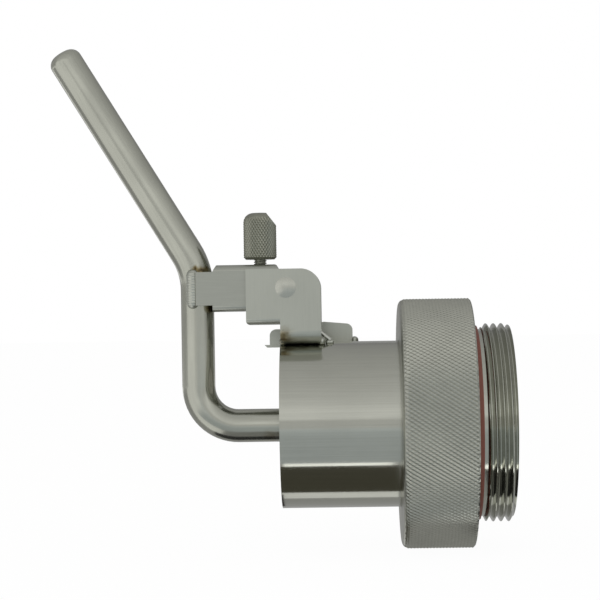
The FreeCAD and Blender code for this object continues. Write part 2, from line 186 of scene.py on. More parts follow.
floor_paint = bpy.data.materials.new("white paper sweep")
floor_paint.use_nodes = True
tree = floor_paint.node_tree
tree.nodes.clear()
share = add_node(tree, "Math", {0: seen_directly(tree).outputs[0], 1: SHOWN_SHARE},
                 operation="MULTIPLY")
paper = add_node(tree, "BsdfDiffuse", {"Color": linear("#F4F4F2")})
glow = add_node(tree, "Emission", {"Color": (1, 1, 1, 1), "Strength": 1.0})
mixed = add_node(tree, "MixShader", {0: share.outputs[0], 1: paper.outputs[0],
                                     2: glow.outputs[0]})
add_node(tree, "OutputMaterial", {"Surface": mixed.outputs[0]})
sheet_object("floor", level_sheet((-3000, 3000), (-3000, 3000), FLOOR_Z / MM - 0.05), floor_paint)
print("floor at", round(FLOOR_Z / MM, 2), "mm")

# %% [markdown]
# ## Grey cards
# Polished metal looks like whatever surrounds it, so a photographer lays dark and grey
# cards round it: without them a steel tube is one flat grey. Here walls of grey stand
# round the tap, and white is left only to its front left, where it draws the bright line
# down the handle. The cover overhead and the floor in front fade from light to darker, as
# a room does, and the floor in front is a little blue, like daylight. On the floor, a
# light strip with a black card behind it makes the bright line and the dark band along
# the spout's lower half, a second set does so for the thread, and dark cards shade the
# undersides of the arm and the bar. Only reflections see the cards.

# %% Cards
def wall(start, end, top):
    """The corners of a wall that stands on the floor from one (x, y) to another."""
    foot = FLOOR_Z / MM
    return [(*start, foot), (*end, foot), (*end, top), (*start, top)]


def card(name, brightness, corners, far_brightness=None, colour="#FFFFFF"):
    """A card that only reflections see. It can fade evenly along y to its third corner."""
    paint = bpy.data.materials.new(name)
    paint.use_nodes = True
    tree = paint.node_tree
    tree.nodes.clear()
    shine = add_node(tree, "Emission", {"Color": linear(colour), "Strength": brightness})
    if far_brightness is not None:
        place = add_node(tree, "SeparateXYZ",
                         {"Vector": add_node(tree, "TexCoord").outputs["Object"]})
        fade = add_node(tree, "MapRange", {"Value": place.outputs["Y"],
                                           "From Min": corners[0][1] * MM,
                                           "From Max": corners[2][1] * MM,
                                           "To Min": brightness, "To Max": far_brightness})
        tree.links.new(fade.outputs[0], shine.inputs["Strength"])
    add_node(tree, "OutputMaterial", {"Surface": shine.outputs[0]})
    made = sheet_object(name, corners, paint)
    for ray in ("camera", "diffuse", "transmission", "volume_scatter", "shadow"):
        setattr(made, "visible_" + ray, False)


on_floor = FLOOR_Z / MM + 0.05
card("black_card_spout", 0.085, level_sheet((-63, -24.2), (-41.5, -12), on_floor + 0.02),
     colour="#FFF9DE")
card("black_card_bar", 0.04, level_sheet((-100, -60), (-10, 14), on_floor))
card("black_card_arm", 0.3, level_sheet((-92, -60.5), (-45.5, -10), on_floor))
card("light_strip", 1.9, level_sheet((-60, -26.5), (-45.5, -41.5), on_floor))
card("black_card_thread", 0.03, level_sheet((1.5, 90), (-44, -16.5), on_floor + 0.05))
card("light_strip_thread", 3.0, level_sheet((1.5, 90), (-49, -44), on_floor + 0.05))
card("light_strip_low", 1.1, level_sheet((1.5, 90), (-16.5, -9), on_floor + 0.05))
card("grey_card_front", 0.92, level_sheet((-150, 600), (-1100, -45.5), on_floor),
     far_brightness=0.59, colour="#F3FAFF")
card("grey_card_ring", 0.42, level_sheet((-25, 100), (-45.5, -5), on_floor))
card("grey_card_back", 0.42, level_sheet((-600, 600), (-5, 300), on_floor - 0.03))
card("grey_cover", 1.0, level_sheet((-1500, 1500), (-1100, 900), 450), far_brightness=0.25)
card("grey_wall_front", 0.7, wall((-500, -1101), (1100, -1101), 200))
card("grey_wall_right", 0.64, wall((900, -900), (900, 900), 449), far_brightness=0.03)
card("grey_wall_left", 0.5, wall((-900, -200), (-900, 900), 449))
card("grey_wall_back", 0.36, wall((-899, 901), (899, 901), 449))
print("15 cards stand round the tap")

# %% [markdown]
# ## One softbox
# A single soft lamp hangs up in front, to the left. It lays the faint shadow on the floor
# and lights the seals and the dull welds. Steel would show it as a bright square, so it is
# kept out of reflections, and the cards alone draw the highlights. Its power is low, at a
# level where a colour renders about as it is written.

# %% Lamp
lamp = bpy.data.lights.new("softbox", "AREA")
lamp.shape = "RECTANGLE"
lamp.size = 0.7
lamp.size_y = 0.5
lamp.energy = 2.2
softbox = bpy.data.objects.new("softbox", lamp)
scene.collection.objects.link(softbox)
softbox.visible_glossy = False
softbox.location = (-0.25, -0.7, 0.75)
aim = Vector((-0.03, 0, 0.03)) - softbox.location
softbox.rotation_mode = "QUATERNION"
softbox.rotation_quaternion = aim.to_track_quat("-Z", "Y")
scene.view_settings.view_transform = "Standard"
print("softbox", round(softbox.location.length, 2), "m from the origin")

# %% [markdown]
# ## Stainless steel
# Every metal piece is AISI 304 type stainless steel, and what sets the pieces apart is
# how each surface was made: drawn, rolled, turned, knurled or welded. One function lays
# the common base: a metal with fine lines from its making and a cloudy unevenness,
# both in colour and in gloss. The lines are noise stretched along the way the tool or
# the die ran. The rest of each recipe is a few lines of its own.

# %% The common steel base
def steel(name, colour, roughness, grain, line_strength=0.04, line_depth=0.02, cloud=0.05):
    """Stainless steel. grain is the size of its lines along x, y and z, in mm."""
    made = bpy.data.materials.new(name)
    made.use_nodes = True
    tree = made.node_tree
    tree.nodes.clear()
    place = add_node(tree, "TexCoord").outputs["Object"]
    scaled = add_node(tree, "Mapping", {"Vector": place,
                                        "Scale": [1 / (g * MM) for g in grain]})
    lines = add_node(tree, "TexNoise", {"Vector": scaled.outputs[0], "Scale": 1.0,
                                        "Detail": 3.0, "Roughness": 0.6})
    clouds = add_node(tree, "TexNoise", {"Vector": place, "Scale": 1 / (14 * MM), "Detail": 4.0})
    dull = linear(colour)
    darker = [c * (1 - line_strength - cloud) for c in dull[:3]] + [1.0]
    brighter = [min(1.0, c * (1 + line_strength + cloud)) for c in dull[:3]] + [1.0]
    total = add_node(tree, "Mix", {"Factor": cloud / (cloud + line_strength),
                                   2: lines.outputs["Fac"], 3: clouds.outputs["Fac"]})
    spread = add_node(tree, "MapRange", {"Value": total.outputs[0], "From Min": 0.3,
                                         "From Max": 0.7})
    tone = add_node(tree, "Mix", {"Factor": spread.outputs[0], 6: darker, 7: brighter},
                    data_type="RGBA")
    gloss = add_node(tree, "MapRange", {"Value": spread.outputs[0],
                                        "To Min": roughness + 0.04, "To Max": roughness - 0.04})
    bump = add_node(tree, "Bump", {"Height": lines.outputs["Fac"], "Strength": 1.0,
                                   "Distance": line_depth * MM})
    skin = add_node(tree, "BsdfPrincipled", {"Base Color": tone.outputs[2], "Metallic": 1.0,
                                             "Roughness": gloss.outputs[0],
                                             "Normal": bump.outputs[0]}, name="skin")
    add_node(tree, "OutputMaterial", {"Surface": skin.outputs[0]})
    return made


def paint(node, material):
    """Give a CAD node its finish."""
    nodes[node].data.materials.clear()
    nodes[node].data.materials.append(material)
    for face in nodes[node].data.polygons:
        face.material_index = 0


def wear_edges(node, width):
    """Round the sharp edges of a CAD node by a width in mm, as deburring does."""
    joined = nodes[node].modifiers.new("joined faces", "WELD")
    joined.merge_threshold = 0.002 * MM
    worn = nodes[node].modifiers.new("worn edges", "BEVEL")
    worn.width = width * MM
    worn.harden_normals = True
    worn.segments = 2
    worn.limit_method = "ANGLE"
    worn.angle_limit = math.radians(50)


print("steel base ready")

# %% [markdown]
# ## Heat tint and painted shade
# Welding leaves thin oxide films on stainless steel: straw, then brown, then a dark blue
# grey nearest the bead. On this tap they show above and below the lever arm's weld, at
# the clevis' foot, and where the bar enters the spout. One spot beside the arm's weld is
# painted shade instead: it darkens the bar's right side, where a dark reflection falls. A
# tint is a soft ball in space, flattened or drawn out upwards: the nearer a point of the
# surface lies to its centre, the more of the tint it wears.

# %% Add heat tint and painted shade to a steel
# Straw and dark brown for weld oxide; the bar's spot beside the arm weld uses them as painted
# shade.
OXIDE_STRAW_AND_PAINTED_SHADE = linear("#7C6F4A")
OXIDE_DARK_AND_PAINTED_SHADE = linear("#3C3122")


def heat_tint_and_painted_shade(material, spots):
    """Straw outside and brown inside, for spots of (x, y, z, radius, tall, strength) in mm.

    A spot with tall above 1 is drawn out upwards, and one below 1 is flattened.
    """
    tree = material.node_tree
    skin = tree.nodes["skin"]
    place = add_node(tree, "TexCoord").outputs["Object"]
    ragged = add_node(tree, "TexNoise", {"Vector": place, "Scale": 1 / (1.4 * MM), "Detail": 5.0,
                                         "Roughness": 0.65})
    colour = skin.inputs["Base Color"].links[0].from_socket
    for x, y, z, radius, tall, strength in spots:
        squashed = add_node(tree, "VectorMath", {0: place, 1: [1, 1, 1 / tall]},
                            operation="MULTIPLY")
        centre = [x * MM, y * MM, z * MM / tall]
        away = add_node(tree, "VectorMath", {0: squashed.outputs[0], 1: centre},
                        operation="DISTANCE")
        uneven = add_node(tree, "Math", {0: ragged.outputs["Fac"], 1: radius * MM,
                                         2: away.outputs["Value"]}, operation="MULTIPLY_ADD")
        oxide_and_shade_outer = add_node(tree, "MapRange", {"Value": uneven.outputs[0],
                                           "From Min": 1.5 * radius * MM,
                                           "From Max": 0.8 * radius * MM,
                                           "To Max": strength}, interpolation_type="SMOOTHSTEP")
        core = add_node(tree, "MapRange", {"Value": uneven.outputs[0],
                                           "From Min": 1.05 * radius * MM,
                                           "From Max": 0.5 * radius * MM,
                                           "To Max": strength}, interpolation_type="SMOOTHSTEP")
        straw = add_node(tree, "Mix", {"Factor": oxide_and_shade_outer.outputs[0], 6: colour, 7: OXIDE_STRAW_AND_PAINTED_SHADE},
                         data_type="RGBA")
        brown = add_node(tree, "Mix", {"Factor": core.outputs[0], 6: straw.outputs[2],
                                       7: OXIDE_DARK_AND_PAINTED_SHADE}, data_type="RGBA")
        colour = brown.outputs[2]
    tree.links.new(colour, skin.inputs["Base Color"])
    return material


print("heat tint ready")

# %% [markdown]
# ## The spout: drawn stainless tube
# The tube was drawn through a die, so its lines run lengthwise. Real ones are finer
# than a pixel of the picture, so they are drawn 0.45 mm apart, as coarse as they need to
# show. The tube itself is fairly glossy: card edges stay crisp in it, and the lines only
# lay a faint silk over long calm reflections.

# %% Spout finish
drawn_tube = steel("drawn stainless tube", "#B1B2A8", 0.12, (40, 0.45, 0.45),
                   line_strength=0.04, line_depth=0.003, cloud=0.03)
heat_tint_and_painted_shade(drawn_tube, [(-58.0, -9, 23.4, 4.0, 0.45, 0.45), (-53, -8, 24.5, 3.0, 1, 0.25)])
paint("spout_tube", drawn_tube)
print("finished", drawn_tube.name)

# %% [markdown]
# ## Turned pieces
# Seat, flange, washers, plug disc, nut and rivet came off a lathe. A tool that feeds
# along a turning piece leaves fine rings, 0.15 mm apart, which spread a highlight
# across them. The rings run round the tube's axis, so the noise is stretched to change
# fast along that axis and slowly across it.

# %% Turned finish
turned_steel = steel("turned stainless steel", "#B4B5AB", 0.28, (0.15, 3, 3),
                     line_strength=0.03, line_depth=0.006, cloud=0.03)
for node in ("seat_ring", "tube_flange", "plug_front_washer", "plug_disc",
             "plug_spring_washer", "plug_nut", "pivot_rivet", "pivot_washers", "weld_nut"):
    paint(node, turned_steel)
print("finished", turned_steel.name)

# %% [markdown]
# ## Folded sheet
# Clevis, lever arm and shoulder plate are cold-rolled sheet and square tube, matt from
# the mill. The grain is faint and lies flat, and weld heat has browned the foot of the
# clevis. Their sawn and punched edges were deburred, so a narrow bevel rounds them. The
# faces of a CAD mesh come unjoined, and a bevel needs shared edges, so a weld modifier
# joins the faces first.

# %% Sheet finish
rolled_sheet = steel("cold rolled stainless sheet", "#B1B3A9", 0.34, (0.4, 0.4, 7),
                     line_strength=0.02, line_depth=0.005, cloud=0.035)
heat_tint_and_painted_shade(rolled_sheet, [(-58.8, -9.3, 26.3, 2.4, 1.3, 0.8), (-58.2, -9.5, 28.0, 3.2, 0.9, 0.3)])
paint("clevis_bracket", rolled_sheet)
paint("shoulder_plate", rolled_sheet)
arm_tube = steel("brushed square stainless tube", "#A5A79E", 0.34, (8, 0.3, 0.3),
                 line_strength=0.03, line_depth=0.006, cloud=0.035)
paint("lever_arm", arm_tube)
for node in ("clevis_bracket", "shoulder_plate", "lever_arm"):
    wear_edges(node, 0.2)
print("finished", rolled_sheet.name, "and", arm_tube.name)

# %% [markdown]
# ## The handle bar
# The bar is 10 mm drawn round steel, bent cold. Its drawing lines follow it round every
# bend. All of its bends lie in one upright plane, so a line of equal distance
# from that plane is also a line along the bar, and noise that changes only across the
# plane gives lines that follow the bends by themselves.

# %% Bar finish
drawn_bar = steel("drawn stainless bar", "#AFB0A5", 0.2, (12, 0.35, 12),
                  line_strength=0.05, line_depth=0.005, cloud=0.05)
# The spot at x -81.2, z 47.5 is painted shade, not oxide: it darkens the bar's right side where a
# dark reflection falls.
heat_tint_and_painted_shade(drawn_bar, [(-83.4, -4.4, 47.2, 4.2, 0.38, 0.85), (-85.1, -4.9, 47.6, 1.0, 1.6, 0.9),
                      (-81.2, -3.2, 47.5, 1.6, 0.8, 0.8), (-81.2, -3.4, 35.7, 2.2, 1, 0.8),
                      (-63.5, -3, -2.5, 3.0, 1, 0.35)])
paint("handle_bar", drawn_bar)
print("finished", drawn_bar.name)

# %% [markdown]
# ## Seals
# The seal behind the thread is red-brown silicone, the plug's seal is white food-grade
# silicone, and the flange's gasket is white PTFE. All three are dull and slightly
# uneven, and none is a metal. Their IOR stays near 1.4, as silicone and PTFE have.

# %% Seal finishes
def soft_solid(name, colour, roughness, refraction, mottling=0.12):
    """Silicone or PTFE: a matt solid with a faint cloud in its colour."""
    made = bpy.data.materials.new(name)
    made.use_nodes = True
    tree = made.node_tree
    tree.nodes.clear()
    place = add_node(tree, "TexCoord").outputs["Object"]
    clouds = add_node(tree, "TexNoise", {"Vector": place, "Scale": 1 / (2.5 * MM), "Detail": 4.0})
    plain = linear(colour)
    dark = [c * (1 - mottling) for c in plain[:3]] + [1.0]
    tone = add_node(tree, "Mix", {"Factor": clouds.outputs["Fac"], 6: dark, 7: plain},
                    data_type="RGBA")
    bump = add_node(tree, "Bump", {"Height": clouds.outputs["Fac"], "Distance": 0.02 * MM})
    skin = add_node(tree, "BsdfPrincipled", {"Base Color": tone.outputs[2],
                                             "Roughness": roughness, "IOR": refraction,
                                             "Normal": bump.outputs[0]})
    add_node(tree, "OutputMaterial", {"Surface": skin.outputs[0]})
    return made


paint("thread_seal", soft_solid("red silicone", "#7F493B", 0.5, 1.41))
paint("plug_seal", soft_solid("white food grade silicone", "#D9D7CF", 0.5, 1.41, 0.05))
paint("flange_gasket", soft_solid("white PTFE", "#E6E6E2", 0.4, 1.38, 0.04))
print("finished 3 seals")

# %% [markdown]
# ## From points to a piece that moves
# The knurls, threads, wire and weld beads are built from points and faces, and all
# of them end the same way: double points are joined, faces turned outwards, and shading
# breaks only at real edges. Then the piece is told which body it rides on, so that it
# moves with the joint, and which CAD node it stands for, so that the plain one is hidden.

# %% Mesh objects
def new_object(name, points, faces, material, body, replaced, smooth_angle=35):
    """A mesh object with its finish, its body and the node that it stands for."""
    mesh = bpy.data.meshes.new(name)
    mesh.from_pydata(points, [], faces)
    shape = bmesh.new()
    shape.from_mesh(mesh)
    bmesh.ops.remove_doubles(shape, verts=shape.verts, dist=1e-6)
    bmesh.ops.dissolve_degenerate(shape, edges=shape.edges, dist=1e-6)
    bmesh.ops.recalc_face_normals(shape, faces=shape.faces)
    shape.to_mesh(mesh)
    shape.free()
    made = bpy.data.objects.new(name, mesh)
    scene.collection.objects.link(made)
    mesh.materials.append(material)
    mesh.shade_smooth()
    mesh.set_sharp_from_angle(angle=math.radians(smooth_angle))
    if body:
        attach(made, body)
    if replaced:
        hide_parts(replaced)
    print(name, len(mesh.vertices), "points,", len(mesh.polygons), "faces")
    return made


print("mesh objects ready")

# %% [markdown]
# ## Meshes by rings
# A turned piece is a stack of rings of points round an axis, each joined to the next.
# Knurling and threads only move those points in and out. Building the rings from their
# points keeps every crest and groove on a row of points, so they stay crisp with few
# faces. Two rings join evenly also where one has a whole multiple of the other's points.

# %% Ring tools
def along_x(a, r, turn):
    """A point a mm along the tube's axis, r mm from it."""
    return Vector((a, r * math.cos(turn), r * math.sin(turn))) * MM


class Rings:
    """Rings of points round an axis, joined one to the next."""

    def __init__(self, place):
        self.place = place
        self.points = []
        self.faces = []
        self.rings = []

    def ring(self, spots):
        """Add a ring from (along, radius, turn) spots and join it to the last one."""
        start = len(self.points)
        self.points += [self.place(*spot) for spot in spots]
        self.rings.append(range(start, len(self.points)))
        if len(self.rings) > 1:
            self.join(self.rings[-2], self.rings[-1])

    def plain(self, along, radius, count):
        self.ring([(along, radius, 2 * math.pi * j / count) for j in range(count)])

    def join(self, low, high):
        if len(low) > len(high):
            low, high = high, low
        ratio = len(high) // len(low)
        for j, here in enumerate(low):
            there = low[(j + 1) % len(low)]
            arc = [high[(j * ratio + i) % len(high)] for i in range(ratio + 1)]
            half = (ratio + 1) // 2
            self.faces += [(here, arc[i + 1], arc[i]) for i in range(half - 1)]
            self.faces.append((here, there, arc[half], arc[half - 1]))
            self.faces += [(there, arc[i + 1], arc[i]) for i in range(half, ratio)]


print("ring tools ready")

# %% [markdown]
# ## A knurl that is really there
# A knurling wheel rolls two families of V grooves into the turning blank, here 33
# degrees off the axis and a little more than 1 mm apart on the ring. Each family has its
# own depth: on the photographed ring the grooves that run down to the right are much
# deeper, and on the knob the others are. Points stand on a lattice of quarter pitches, so
# both families run along lattice diagonals, and each cell is split along the diagonal
# that carries its crease.

# %% Knurled rows
KNURL_ANGLE = math.radians(33)
CREST_SHAPE = (0.0, 0.65, 1.0, 0.65)       # height across one groove pitch, in quarters


def knurl_depth(k, m, climbing, falling):
    """How far the lattice point (k round, m along) lies below the crests, in mm.

    Climbing grooves turn forward on their way along the axis, falling ones backward.
    """
    first = climbing * (1 - CREST_SHAPE[(k - m) % 4])
    second = falling * (1 - CREST_SHAPE[(k + m) % 4])
    return max(first, second)


def knurl_step(radius, count):
    """The length along the axis of a quarter pitch."""
    return 2 * math.pi * radius / count / math.tan(KNURL_ANGLE)


def add_knurl(rings, start, end, radius_at, count, climbing, falling):
    """Knurled rows from start to end, with the depth of each family of grooves in mm."""
    rows = round((end - start) / knurl_step(radius_at(end), count))
    for m in range(rows + 1):
        along = start + (end - start) * m / rows
        spots = []
        for k in range(count):
            sunk = knurl_depth(k, m, climbing, falling)
            spots.append((along, radius_at(along) - sunk, 2 * math.pi * k / count))
        first = len(rings.points)
        rings.points += [rings.place(*spot) for spot in spots]
        if m:
            for k in range(count):
                n = (k + 1) % count
                a, b = before + k, before + n
                c, d = first + n, first + k
                if (k - m + 1) % 2 == 0:
                    rings.faces += [(a, b, c), (a, c, d)]
                else:
                    rings.faces += [(a, b, d), (b, c, d)]
        elif rings.rings:
            rings.join(rings.rings[-1], range(first, first + count))
        before = first
    rings.rings.append(range(before, before + count))


print("knurl rows ready")

# %% [markdown]
# ## A thread that is really there
# The coupling has a 2 inch parallel pipe thread: 55 degree flanks, crests and roots
# rounded, 2.309 mm from crest to crest. The rows of points climb with the
# thread, one pitch in each turn, so a crest is one unbroken row. At both ends
# the rows are clipped to the thread's length, as the real thread is.

# %% Threaded rows
PIPE_SHAPE = (0.0, 0.04, 0.22, 0.42, 0.62, 0.82, 0.97, 1.0)


def thread_depth(phase):
    """Depth of a rounded V thread, 0 on the crest at phase 0 and 1 in the root at 0.5."""
    half = abs((phase + 0.5) % 1 - 0.5) * 2 * (len(PIPE_SHAPE) - 1)
    low = min(int(half), len(PIPE_SHAPE) - 2)
    return PIPE_SHAPE[low] + (PIPE_SHAPE[low + 1] - PIPE_SHAPE[low]) * (half - low)


def thread_ring(along, pitch, depth, crest, envelope, count, first_crest):
    """The thread's outline in one plane across its axis."""
    spots = []
    for j in range(count):
        phase = along / pitch - j / count - first_crest
        radius = min(crest - depth * thread_depth(phase), envelope(along))
        spots.append((along, radius, 2 * math.pi * j / count))
    return spots


def add_thread(rings, start, end, pitch, depth, crest, envelope, count, first_crest=0.0):
    """Threaded rows between two planes. envelope limits the radius, as a chamfer does."""
    rings.ring(thread_ring(start, pitch, depth, crest, envelope, count, first_crest))
    samples = 2 * (len(PIPE_SHAPE) - 1)
    rows = math.ceil((end - start) / pitch * samples) + samples
    for i in range(rows + 1):
        spots = []
        for j in range(count + 1):
            along = start + (i / samples - 1 + j / count) * pitch
            along = min(max(along, start), end)
            phase = along / pitch - j / count - first_crest
            radius = min(crest - depth * thread_depth(phase), envelope(along))
            spots.append((along, radius, 2 * math.pi * j / count))
        first = len(rings.points)
        rings.points += [rings.place(*spot) for spot in spots]
        if i:
            for j in range(count):
                rings.faces.append((before + j, before + j + 1, first + j + 1, first + j))
        before = first
    last = thread_ring(end, pitch, depth, crest, envelope, count, first_crest)
    start_of_last = len(rings.points)
    rings.points += [rings.place(*spot) for spot in last]
    rings.rings.append(range(start_of_last, len(rings.points)))


print("thread rows ready")

# %% [markdown]
# ## One steel, two glosses
# The coupling is turned from one blank, but a knurling wheel crushes the surface and leaves
# it dull, while a sharp tool cuts the thread and leaves it bright. So one material serves
# the whole piece, and beyond the grip's face its roughness is multiplied by a share.

# %% Coupling finish
RING_FACE = -2.9
THREAD_ROUGHNESS = 0.4     # as a share of the grip's

knurled_steel = steel("knurled stainless steel", "#ACADA3", 0.32, (1.5, 1.5, 1.5),
                      line_strength=0.04, line_depth=0.01, cloud=0.05)


def smoother_beyond(material, along, share):
    """Multiply a steel's roughness by a share beyond a place along the tube's axis, in mm."""
    tree = material.node_tree
    skin = tree.nodes["skin"]
    gloss = skin.inputs["Roughness"].links[0].from_socket
    place = add_node(tree, "SeparateXYZ",
                     {"Vector": add_node(tree, "TexCoord").outputs["Object"]})
    beyond = add_node(tree, "Math", {0: place.outputs["X"], 1: along * MM},
                      operation="GREATER_THAN")
    factor = add_node(tree, "MapRange", {"Value": beyond.outputs[0], "To Min": 1.0,
                                         "To Max": share})
    smoother = add_node(tree, "Math", {0: gloss, 1: factor.outputs[0]}, operation="MULTIPLY")
    tree.links.new(smoother.outputs[0], skin.inputs["Roughness"])


smoother_beyond(knurled_steel, RING_FACE / 2, THREAD_ROUGHNESS)
print("finished", knurled_steel.name)

# %% [markdown]
# ## The coupling ring
# One turned piece: a 75 mm grip ring with a rounded edge on the spout's side, a groove
# for the seal, and the pipe thread. Its bore turns on the spout. The rings of points go
# once round its whole outline, starting in the bore, so that the mesh is closed. The
# grip has three times as many points round it as the rest. The sizes are those of the
# CAD solid that this mesh stands for, and the thread starts where the picture shows it.

# %% Coupling ring
RING_BACK = -24.5
RING_R = 37.5
RING_ROUND = 2.2
RING_CHAMFER = 0.5
SMOOTH_RIM = 0.8           # the knurling wheel stops this far from the back edge
THREAD_R = 29.8
THREAD_END = 8.7
THREAD_LEAD = 0.7          # the chamfer that leads the thread into its socket
GROOVE_R = 28.1
BORE_R = 25.1
COUNTERBORE_R = 27.0
SHOULDER = 3.65            # where the counterbore ends, against the tube's flange
PIPE_PITCH = 2.309
PIPE_DEPTH = 1.479
FIRST_CREST = 0.54         # where the first crest lies, as a share of the pitch
ROUND = 248
GRIP_ROUND = 3 * ROUND


def pipe_envelope(along):
    """The blank's radius, with the run-out at the thread's start and the chamfer at its end."""
    return min(GROOVE_R + 0.1 + 2 * along, THREAD_R, THREAD_R + THREAD_END - THREAD_LEAD - along)


def rim_radius(along):
    """The grip's radius, with the round at its back edge."""
    left = max(0.0, RING_BACK + RING_ROUND - along)
    return RING_R - RING_ROUND + math.sqrt(RING_ROUND ** 2 - left ** 2)


outline = Rings(along_x)
for along, radius in ((THREAD_END, COUNTERBORE_R), (SHOULDER, COUNTERBORE_R),
                      (SHOULDER, BORE_R), (RING_BACK, BORE_R)):
    outline.plain(along, radius, ROUND)
for step in range(6):
    along = RING_BACK + SMOOTH_RIM * (step / 6) ** 2
    outline.plain(along, rim_radius(along), ROUND)
add_knurl(outline, RING_BACK + SMOOTH_RIM, RING_FACE - RING_CHAMFER, rim_radius,
          GRIP_ROUND, climbing=0.38, falling=0.14)
outline.plain(RING_FACE, RING_R - RING_CHAMFER, ROUND)
outline.plain(RING_FACE, GROOVE_R, ROUND)
outline.plain(0, GROOVE_R, ROUND)
add_thread(outline, 0, THREAD_END, PIPE_PITCH, PIPE_DEPTH, THREAD_R, pipe_envelope, ROUND,
           first_crest=FIRST_CREST)
outline.join(outline.rings[-1], outline.rings[0])
coupling = new_object("coupling_with_knurl_and_thread", outline.points, outline.faces,
                      knurled_steel, "coupling", "coupling_ring")
print("a quarter pitch of the grip is", round(knurl_step(RING_R, GRIP_ROUND), 3), "mm long")

# %% [markdown]
# ## The thumb screw's knob
# A 10 mm knob with a finer knurl, a dome-like round at its top and one facet ground off
# on the side away from the handle. It is built upright by rings, and then the
# facet is cut with a plane, which also closes the mesh.

# %% Knurled knob
KNOB_X = -65.8
KNOB_Z = 50.1
KNOB_H = 14.1
KNOB_R = 5.0
KNOB_ROUND = 3.0
KNOB_CHAMFER = 0.7
KNOB_HOLE_R = 2.05
KNOB_HOLE_DEPTH = 8.0
FACET_W = 3.0
FACET_H = 3.9
KNOB_TURNS = 128
KNURL_SHARE = 0.45         # how much of the top's round still carries the knurl
CAP_R = 0.02               # the last ring before the axis, which one face closes


def along_screw(a, r, turn):
    """A point a mm up the thumb screw's axis, r mm from it."""
    return Vector((KNOB_X + r * math.cos(turn), r * math.sin(turn), a)) * MM


def knob_radius(along):
    """The knob's own outline, with its round top."""
    up = along - (KNOB_Z + KNOB_H - KNOB_ROUND)
    if up <= 0:
        return KNOB_R
    return KNOB_R - KNOB_ROUND + math.sqrt(KNOB_ROUND ** 2 - up ** 2)


knob_steel = steel("knurled stainless knob", "#939487", 0.33, (1.2, 1.2, 1.2),
                   line_strength=0.04, line_depth=0.01, cloud=0.06)
outline = Rings(along_screw)
hole_end = KNOB_Z + KNOB_HOLE_DEPTH
for along, radius in ((hole_end, CAP_R), (hole_end, KNOB_HOLE_R), (KNOB_Z, KNOB_HOLE_R),
                      (KNOB_Z, KNOB_R - KNOB_CHAMFER)):
    outline.plain(along, radius, KNOB_TURNS)
knurl_end = KNOB_Z + KNOB_H - (1 - KNURL_SHARE) * KNOB_ROUND
add_knurl(outline, KNOB_Z + KNOB_CHAMFER, knurl_end, knob_radius, KNOB_TURNS,
          climbing=0.16, falling=0.3)
for step in range(1, 9):
    along = knurl_end + (KNOB_Z + KNOB_H - knurl_end) * math.sin(math.radians(90 * step / 8))
    outline.plain(along, knob_radius(min(along, KNOB_Z + KNOB_H - 1e-6)), KNOB_TURNS)
outline.plain(KNOB_Z + KNOB_H, CAP_R, KNOB_TURNS)
for row in (outline.rings[0], outline.rings[-1]):
    outline.faces.append(tuple(row))
knob = new_object("knurled_thumb_knob", outline.points, outline.faces, knob_steel, None,
                  None)
shape = bmesh.new()
shape.from_mesh(knob.data)
facet_point = Vector((KNOB_X + KNOB_R - FACET_W, 0, KNOB_Z + KNOB_H)) * MM
facet_normal = Vector((FACET_H, 0, FACET_W)).normalized()
cut = bmesh.ops.bisect_plane(shape, geom=shape.verts[:] + shape.edges[:] + shape.faces[:],
                             plane_co=facet_point, plane_no=facet_normal, clear_outer=True)
rim = [e for e in cut["geom_cut"] if isinstance(e, bmesh.types.BMEdge)]
bmesh.ops.contextual_create(shape, geom=rim)
bmesh.ops.recalc_face_normals(shape, faces=shape.faces)
shape.to_mesh(knob.data)
shape.free()
knob.data.set_sharp_from_angle(angle=math.radians(35))
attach(knob, "lock_knob")
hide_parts("thumb_knob")
print("facet cut:", len(knob.data.polygons), "faces")

# %% [markdown]
# ## The thumb screw's stem
# The stem is an M4 screw with 0.7 mm pitch and a small point. Only two crests of its
# thread show between the knob and the arm, and the rest shows when the lever is seen
# from below.

# %% Screw stem
SCREW_R = 2.0
SCREW_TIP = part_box("screw_stem")[0].z / MM
SCREW_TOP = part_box("screw_stem")[1].z / MM
POINT_R = 0.5
POINT_H = 1.5
SCREW_PITCH = 0.7
SCREW_DEPTH = 0.43
SCREW_TURNS = 64

outline = Rings(along_screw)
outline.plain(SCREW_TIP, POINT_R, SCREW_TURNS)
add_thread(outline, SCREW_TIP + 0.01, SCREW_TOP, SCREW_PITCH, SCREW_DEPTH, SCREW_R,
           lambda a: min(SCREW_R, POINT_R + (a - SCREW_TIP) * (SCREW_R - POINT_R) / POINT_H),
           SCREW_TURNS)
for row in (outline.rings[0], outline.rings[-1]):
    outline.faces.append(tuple(row))
screw = new_object("threaded_screw_stem", outline.points, outline.faces, turned_steel,
                   "lock_screw", "screw_stem", smooth_angle=50)

# %% [markdown]
# ## Sweeping a round section
# The spring and the weld beads are round sections that follow a line. Blender's curves
# could do this too, but a weld bead changes its thickness at every ripple, so one small
# sweep that takes a radius for each point serves both.

# %% Sweep tool
def sweep(name, line, radii, sides, material, body, replaced):
    """A round section swept along points, with its own radius at each one, in mm."""
    points = []
    faces = []
    across = None
    for i, spot in enumerate(line):
        ahead = (line[min(i + 1, len(line) - 1)] - line[max(i - 1, 0)]).normalized()
        if across is None:
            across = ahead.orthogonal()
        across = (across - ahead * across.dot(ahead)).normalized()
        other = ahead.cross(across)
        for j in range(sides):
            turn = 2 * math.pi * j / sides
            outward = across * math.cos(turn) + other * math.sin(turn)
            points.append((spot + outward * radii[i]) * MM)
        if i:
            for j in range(sides):
                a = (i - 1) * sides
                n = (j + 1) % sides
                faces.append((a + j, a + n, a + sides + n, a + sides + j))
    faces.append(tuple(range(sides)))
    faces.append(tuple(range(len(points) - sides, len(points))))
    return new_object(name, points, faces, material, body, replaced)


print("sweep tool ready")
